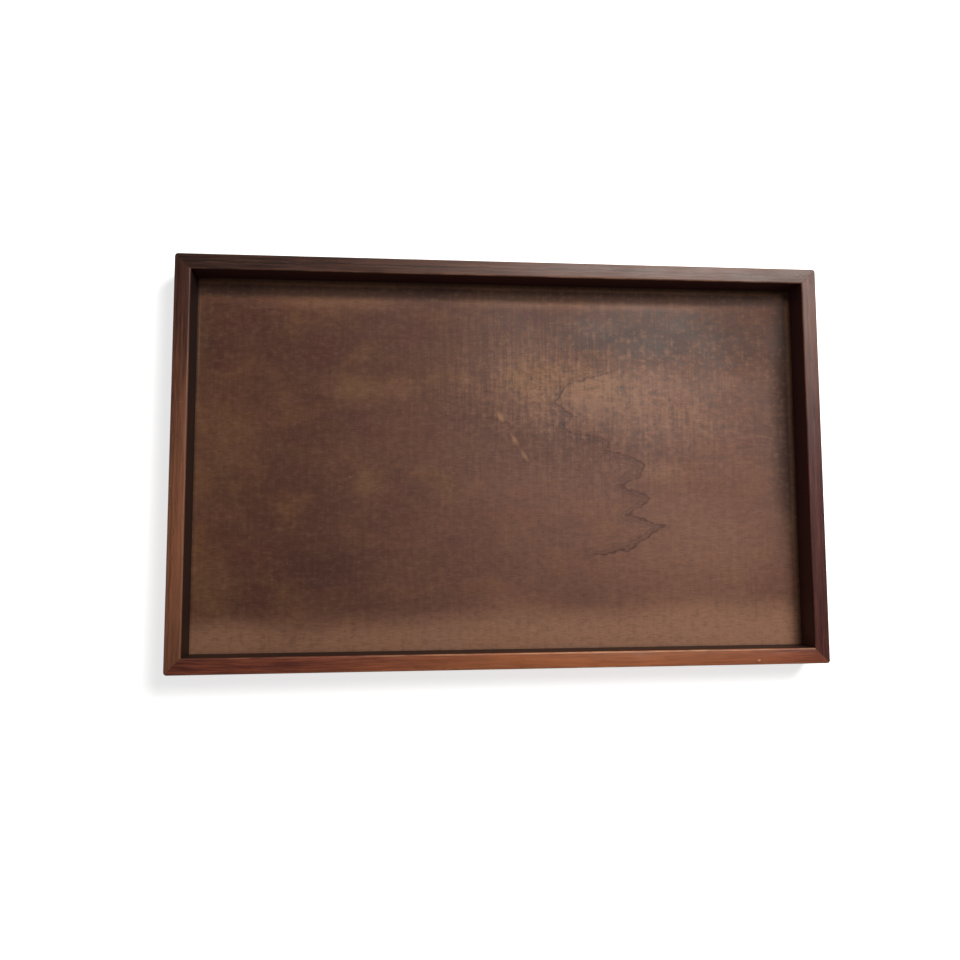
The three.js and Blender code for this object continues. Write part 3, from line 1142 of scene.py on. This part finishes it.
from_left, from_right = plus(inner_x, panel_x), minus(inner_x, panel_x)
from_near, from_far = plus(inner_y, panel_y), minus(inner_y, panel_y)
from_ends = plus(maths("MINIMUM", from_left, from_right), NARROWER_AT_SIDES)
border = maths("MINIMUM", from_ends, maths("MINIMUM", from_near, from_far))
wiped = spread(plus(border, both(minus(cloud((45, 40), 5.2), 0.5), MARGIN_RAGGED)), *MARGIN)
where_wiped = spread(cloud((60, 60), 9.9), 0.38, 0.6)
wood = tint(wood, both(wiped, where_wiped), 0.6, paint(132, 90, 58))

# Painted shadow along the far and right rails, and painted light at their foot.
far_painted_shadow = both(spread(from_far, *FAR_BAND_END), spread(from_far, *BAND_START))
right_painted_shadow = both(spread(from_right, *RIGHT_BAND_END), spread(from_right, *BAND_START))
right_painted_shadow = both(right_painted_shadow, spread(panel_y, -100 * MM, 0.0))
painted_shadow_bands = maths("MAXIMUM", far_painted_shadow, right_painted_shadow)
painted_light_at_foot = spread(maths("MINIMUM", from_far, from_right), *FOOT)
print("bands", round(FAR_BAND_END[0] / MM), "and", round(RIGHT_BAND_END[0] / MM), "mm wide")

# %% [markdown]
# Right in the corner between rail and panel, on the near and left sides where the light falls in,
# there is a thin line of painted shade. By the far end of the left rail the stain is darker, and a
# thin painted highlight there stands for a bead of varnish catching the light.

# %% Lay on the painted shadow bands, the painted corner shade and the painted bead highlight
CORNER_SHADE = (2.2 * MM, 0.4 * MM)

# Painted shade in the corner between panel and rail, and a painted highlight for the bead.
corner_shade = spread(maths("MINIMUM", from_left, from_near), *CORNER_SHADE)
by_left_rail = patch((-234, 92), (24, 46), ragged=0.3)
bead_highlight = patch((-236.4, 92), (1.0, 60), ragged=0.3)
ALONG_RAILS = (
    (corner_shade, 0.5, paint(60, 38, 26)), (painted_shadow_bands, 0.76, paint(46, 25, 17)),
    (painted_light_at_foot, 0.5, paint(150, 104, 74)),
    (spread(from_near, *NEAR_MARGIN), 0.45, paint(160, 116, 92)),
    (by_left_rail, 0.5, paint(58, 34, 25)), (bead_highlight, 0.25, paint(160, 126, 98)),
)  # where, how strongly, tone

for where, share, tone in ALONG_RAILS:
    wood = tint(wood, where, share, tone)
print(len(ALONG_RAILS), "marks along the rails")

# %% [markdown]
# In a growth ring the wood darkens gently towards the edge and then starts again pale, so the
# edge is sharp on one side only. The same edge repeats faintly further in, as a log repeats its
# rings. The noise shakes the distance a few millimetres, which makes the line jagged, as a blade
# leaves it. It shows only between the far and near thirds of the panel.

# %% The growth ring
RING_SHAKE = 6.0  # millimetres, as the ring's distance is
ECHOES = ((-3.1, 0.25), (-6.5, 0.2), (-13, 0.2), (9, 0.1), (-24, 0.14))  # how far, how dark

measured = add("Attribute", output="Fac", options={"attribute_name": "ring"})
from_edge = plus(measured, both(minus(cloud((6.5, 6.5), 2.2, 1.5), 0.5), RING_SHAKE))
not_near = spread(panel_y, -88 * MM, -70 * MM)
not_far = spread(panel_y, 88 * MM, 62 * MM)
tail = maths("MAXIMUM", spread(panel_x, 45 * MM, 85 * MM), spread(panel_y, -66 * MM, -50 * MM))
shown = both(both(not_near, not_far), tail)
late_wood = both(spread(from_edge, -9.0, -0.2), spread(from_edge, 0.3, -0.2))
wood = tint(wood, both(late_wood, shown), 0.32, paint(66, 38, 28))
broken = spread(cloud((9, 9), 4.4, 3.0), 0.3, 0.55, 0.5, 1.0)
ring_line = both(spread(maths("ABSOLUTE", from_edge), 1.5, 0.3), broken)
wood = tint(wood, both(ring_line, shown), 0.74, paint(72, 32, 23))
for distance, share in ECHOES:
    echo = spread(maths("ABSOLUTE", minus(from_edge, distance)), 1.1, 0.1)
    wood = tint(wood, both(echo, both(shown, broken)), share, paint(64, 30, 22))
print("one ring and", len(ECHOES), "echoes")

# %% [markdown]
# The fine texture is one number, above zero where the wood is paler and below where it is darker.
# It adds up the crossed hatching, short grain, mottle of three sizes and a soft nap. All of them
# are strongest round the ring, on the right of the panel's far half.

# %% Hatching, grain and mottle
MOTTLES = ((2.2, 0.3, 0.3), (4.8, 0.85, 1.3), (9.5, 0.1, 0.9))  # size, share, more by the ring

strongest = plus(0.2, both(patch((80, 60), (205, 110), ragged=0.9), 0.7))
busiest = patch((95, 55), (190, 90), ragged=0.9)
hatch = use(knife_hatch, Place=on_panel, Pitch=2.4 * MM, Run=30 * MM)
texture = both(minus(hatch, 0.5), strongest)
grain = use(wood_grain, Place=on_panel, Length=0.007, Width=0.0014, Wander=0.004)
texture = plus(texture, both(minus(grain, 0.5), 0.14))
for size, share, more in MOTTLES:
    mottle = cloud((size * 1.1, size * 0.9), size * 6.1, 0.8)
    strength = plus(share, both(busiest, more))
    texture = plus(texture, both(minus(mottle, 0.5), strength))
nap = both(minus(cloud((1.8, 1.8), 21.7, 1.0), 0.5), strongest)
texture = plus(texture, both(nap, 1.25))
paler_parts = maths("MAXIMUM", texture, 0.0)
darker_parts = maths("MAXIMUM", both(texture, -1.0), 0.0)
thread = plus(0.46, both(busiest, 0.3))
wood = tint(wood, both(paler_parts, thread), 1.0, paint(152, 116, 95))
wood = tint(wood, darker_parts, 0.8, paint(52, 29, 22))
print(len(tree.nodes), "nodes so far")

# %% [markdown]
# From above the whole tray the fibres and the open pores are too fine to see, but a close look
# finds them. The marks of use come last: dark and pale specks, and one old scratch in three
# short strokes left of the ring. Then the gloss and the relief: the varnish is semi-matt, duller
# in clouds and in the far right corner, where it has bloomed, and so thin that every pore and
# the ring's edge can be felt through it.

# %% Fibres, pores and marks of use
SCRATCH = (((-3, 37), (6.5, 3.2), 0.5), ((8, 19), (8, 2.5), 0.38), ((16, 6), (8, 2.5), 0.38))
SCRATCH_TURN = 58.0  # degrees

fibres = use(wood_grain, Place=on_panel, Length=0.006, Width=0.0003, Wander=0.002)
wood = tint(wood, minus(1.0, fibres), 0.3, paint(52, 30, 22))
pores = use(specks, Place=vectors("MULTIPLY", on_panel, (0.14, 1.0, 1.0)),
            Spacing=0.0013, Radius=0.26, Share=0.3)
wood = tint(wood, pores, 0.45, paint(34, 19, 15))
dark_specks = use(specks, Place=on_panel, Spacing=0.014, Radius=0.06, Share=0.3)
wood = tint(wood, dark_specks, 0.7, paint(36, 20, 16))
pale_specks = use(specks, Place=vectors("ADD", on_panel, (0.7, 0.3, 0.0)),
                  Spacing=0.023, Radius=0.05, Share=0.28)
wood = tint(wood, pale_specks, 0.6, paint(160, 120, 88))
for centre, radius, share in SCRATCH:
    stroke = patch(centre, radius, turn=SCRATCH_TURN, ragged=0.7)
    wood = tint(wood, stroke, share, paint(176, 128, 92))
print(len(SCRATCH), "strokes of the scratch")

# %% Gloss and relief
gloss = spread(cloud((90, 50), 1.1), 0.3, 0.7, 0.54, 0.64)
bloomed = maths("MAXIMUM", painted_shadow_bands, patch((225, 125), (95, 64)))
roughness = plus(plus(gloss, both(texture, 0.08)), both(bloomed, 0.19))
raised = plus(texture, both(fibres, 0.4))
sunk = plus(both(pores, 0.8), both(ring_line, 0.5))
relief = bump(minus(raised, sunk), 0.05 * MM)
end_finish(veneer_look, Base_Color=wood, Roughness=roughness, Normal=relief,
           Specular_IOR_Level=0.36)
wear_only(face_veneer, veneer_look)

# %% [markdown]
# ## The pieces that few people see
# The back veneer got one thin coat of stain and no varnish, so it is paler, flatter and rougher
# than the face, and its open grain shows. The core was never stained at all, and its grain runs
# the other way. The filler took the stain but has no grain, and the brads are bright drawn wire.

# %% Finish the back and the core
def back_finish():
    """Plain veneer under one thin coat of stain."""
    material = start_finish("back_veneer_thin_stain")
    place = add("TexCoord", output="Object")
    drift = noise_value(vectors("DIVIDE", place, (0.14, 0.04, 0.1)), 5.0, 0.6)
    wood = blend_colours(spread(drift, 0.3, 0.7), paint(96, 64, 44), paint(138, 100, 68))
    grain = use(wood_grain, Place=place, Length=0.05, Width=0.0016, Wander=0.012)
    wood = tint(wood, grain, 0.5, paint(78, 50, 34))
    checks = use(specks, Place=vectors("MULTIPLY", place, (0.07, 1.0, 1.0)),
                 Spacing=0.0022, Radius=0.28, Share=0.3)
    return end_finish(material, Base_Color=tint(wood, checks, 0.6, paint(52, 33, 24)),
                      Roughness=spread(drift, 0.3, 0.7, 0.62, 0.8),
                      Normal=bump(minus(grain, checks), 0.08 * MM))


def core_finish():
    """Raw veneer with its grain across the tray."""
    material = start_finish("core_veneer_raw")
    crosswise = add("VectorRotate", options={"rotation_type": "Z_AXIS"},
                    Vector=add("TexCoord", output="Object"), Angle=math.radians(90))
    grain = use(wood_grain, Place=crosswise, Length=0.04, Width=0.0014, Wander=0.008)
    wood = blend_colours(grain, paint(188, 154, 112), paint(214, 184, 142))
    return end_finish(material, Base_Color=wood, Roughness=spread(grain, 0.0, 1.0, 0.75, 0.9),
                      Normal=bump(grain, 0.05 * MM))


wear_only(back_veneer, back_finish())
wear_only(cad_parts["panel_core_veneer"], core_finish())


# %% Finish the filler and the brads
def filler_finish():
    """Stained wood filler: a paste of dust with no grain."""
    material = start_finish("wood_filler_stained")
    lumps = noise_value(add("TexCoord", output="Object"), 4.0, 0.6, scale=1800.0)
    paste = blend_colours(spread(lumps, 0.3, 0.7), paint(56, 28, 22), paint(90, 51, 41))
    return end_finish(material, Base_Color=paste, Roughness=spread(lumps, 0.3, 0.7, 0.5, 0.75),
                      Normal=bump(lumps, 0.05 * MM))


def steel_finish():
    """Bright wire with the fine lines of drawing along it."""
    material = start_finish("brad_wire")
    place = vectors("DIVIDE", add("TexCoord", output="Object"), (0.02, 0.0002, 0.0002))
    drawn = noise_value(place, 3.0)
    steel = blend_colours(spread(drawn, 0.3, 0.7), paint(150, 150, 150), paint(190, 190, 188))
    return end_finish(material, Base_Color=steel, Roughness=spread(drawn, 0.3, 0.7, 0.25, 0.45),
                      Normal=bump(drawn, 0.01 * MM), Metallic=1.0)


filler = filler_finish()
wire = steel_finish()
for place in BRADS:
    wear_only(plugs[place], filler)
    wear_only(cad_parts[f"brad_{place}"], wire)

# %% [markdown]
# The floor only has to be pale and even. It glows a little, so that it stays nearly white without
# a lamp so strong that it would wash out the wood.

# %% Finish the floor
FLOOR_GLOW = 0.7

floor_look = start_finish("pale_floor")
end_finish(floor_look, Base_Color=(0.9, 0.9, 0.9, 1.0), Roughness=0.9,
           Emission_Color=(1.0, 1.0, 1.0, 1.0), Emission_Strength=FLOOR_GLOW)
wear_only(floor, floor_look)

# %% [markdown]
# ## Hand the pieces over
# The tray has no joints, so every piece rides on its one body. Each finely modelled piece takes
# the place of the imported node that it stands for, and that node is hidden. The size of the tray
# with the finer pieces is measured again and set beside the imported size. The tray may not grow
# by the finer modelling.

# %% Ride and replace
def hand_over(piece, node):
    """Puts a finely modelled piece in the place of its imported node."""
    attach(piece, "root")
    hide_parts(node)


for name, rail in rails.items():
    hand_over(rail, name)
hand_over(face_veneer, "panel_face_veneer")
hand_over(back_veneer, "panel_back_veneer")
for place, plug in plugs.items():
    hand_over(plug, f"filler_plug_{place}")

shown_low, shown_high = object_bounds()
growth = (shown_high - shown_low) - (cad_high - cad_low)
print("grown by", [round(value / MM, 2) for value in growth], "mm")
